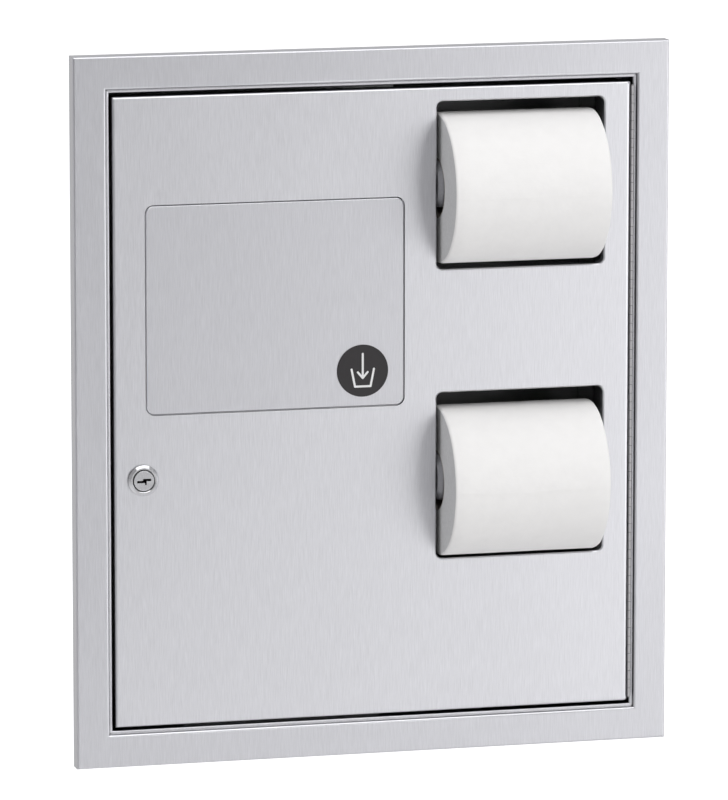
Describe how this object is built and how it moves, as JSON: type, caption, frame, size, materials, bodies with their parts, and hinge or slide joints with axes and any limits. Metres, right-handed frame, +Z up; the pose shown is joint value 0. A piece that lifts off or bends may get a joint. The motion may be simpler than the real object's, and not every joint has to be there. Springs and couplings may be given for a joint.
{
  "type": "recessed toilet roll dispenser",
  "caption": "Recessed stainless toilet roll dispenser: framed door on a long hinge, stacked rolls on sprung spindles, and a self-closing push flap over a waste receptacle, with a cam lock.",
  "frame": {"origin": "centre of the wall opening, in the plane of the wall, which the frame's back edge meets", "axes": "+Z up, +X to the right as seen from the front, +Y into the wall; the door faces -Y"},
  "size_m": [0.4346, 0.1435, 0.508],
  "materials": {
    "stainless": "satin, vertical grain",
    "stainless_frame": "satin, vertical grain",
    "stainless_door": "satin, vertical grain",
    "stainless_flap": "satin, vertical grain",
    "cabinet_steel": "mill finish",
    "housing_steel": "mill finish",
    "bumper_rubber": "matte",
    "spring_wire": "drawn wire",
    "symbol_plastic": "matte",
    "lock_chrome": "polished",
    "lock_steel": "zinc plated",
    "spindle_plastic": "plated plastic",
    "tissue": "soft paper",
    "cardboard": "plain board",
    "receptacle_plastic": "moulded"
  },
  "bodies": {
    "cabinet": {"frame": "stainless_frame", "cabinet_shell": "cabinet_steel", "cabinet_side_left": "cabinet_steel", "cabinet_side_right": "cabinet_steel", "door_stop_angle": "stainless", "door_bumpers": "bumper_rubber", "receptacle_retainer": "stainless", "hinge_leaf_frame": "stainless", "hinge_pin": "stainless"},
    "door": {"door_panel": "stainless_door", "hinge_leaf_door": "stainless", "tissue_housing": "housing_steel", "spindle_bracket_upper_left": "stainless", "spindle_bracket_upper_right": "stainless", "spindle_bracket_lower_left": "stainless", "spindle_bracket_lower_right": "stainless", "flap_hinge_leaf_door": "stainless", "flap_hinge_pin": "stainless", "flap_spring": "spring_wire", "lock_body": "lock_chrome", "lock_nut": "lock_steel", "spindle_upper_body": "spindle_plastic", "spindle_lower_body": "spindle_plastic", "spindle_upper_spring": "spring_wire", "spindle_lower_spring": "spring_wire"},
    "flap": {"disposal_flap": "stainless_flap", "flap_hinge_leaf_flap": "stainless", "flap_symbol": "symbol_plastic"},
    "lock": {"lock_plug": "lock_chrome", "lock_cam": "lock_steel", "lock_cam_screw": "lock_steel"},
    "roll_upper": {"tissue_roll_upper": "tissue", "roll_core_upper": "cardboard"},
    "roll_lower": {"tissue_roll_lower": "tissue", "roll_core_lower": "cardboard"},
    "plunger_upper": {"spindle_upper_plunger": "spindle_plastic"},
    "plunger_lower": {"spindle_lower_plunger": "spindle_plastic"},
    "receptacle": {"waste_receptacle": "receptacle_plastic"}
  },
  "joints": [
    {"name": "door_hinge", "type": "hinge", "parent": "cabinet", "child": "door", "pos_m": [0.19, -0.0122, 0], "axis": [0, 0, 1], "range_deg": [0, 110]},
    {"name": "flap_hinge", "type": "hinge", "parent": "door", "child": "flap", "pos_m": [-0.07205, -0.0092, 0.1524], "axis": [1, 0, 0], "range_deg": [0, 35], "stiffness_Nm_per_rad": 0.05, "springref_deg": -28.65, "deforming": ["flap_spring"]},
    {"name": "lock_turn", "type": "hinge", "parent": "door", "child": "lock", "pos_m": [-0.1684, 0, -0.0476], "axis": [0, 1, 0], "range_deg": [0, 90]},
    {"name": "upper_roll_spin", "type": "hinge", "parent": "door", "child": "roll_upper", "pos_m": [0.1063, -0.0007, 0.1517], "axis": [1, 0, 0], "continuous": true},
    {"name": "upper_plunger_slide", "type": "slide", "parent": "door", "child": "plunger_upper", "axis": [-1, 0, 0], "range_m": [0, 0.008], "stiffness_N_per_m": 400, "springref_m": -0.02, "deforming": ["spindle_upper_spring"]},
    {"name": "lower_roll_spin", "type": "hinge", "parent": "door", "child": "roll_lower", "pos_m": [0.1063, -0.0007, -0.0593], "axis": [1, 0, 0], "continuous": true},
    {"name": "lower_plunger_slide", "type": "slide", "parent": "door", "child": "plunger_lower", "axis": [-1, 0, 0], "range_m": [0, 0.008], "stiffness_N_per_m": 400, "springref_m": -0.02, "deforming": ["spindle_lower_spring"]},
    {"name": "receptacle_lift", "type": "slide", "parent": "cabinet", "child": "receptacle", "axis": [0, 0, 1], "range_m": [0, 0.014]}
  ]
}
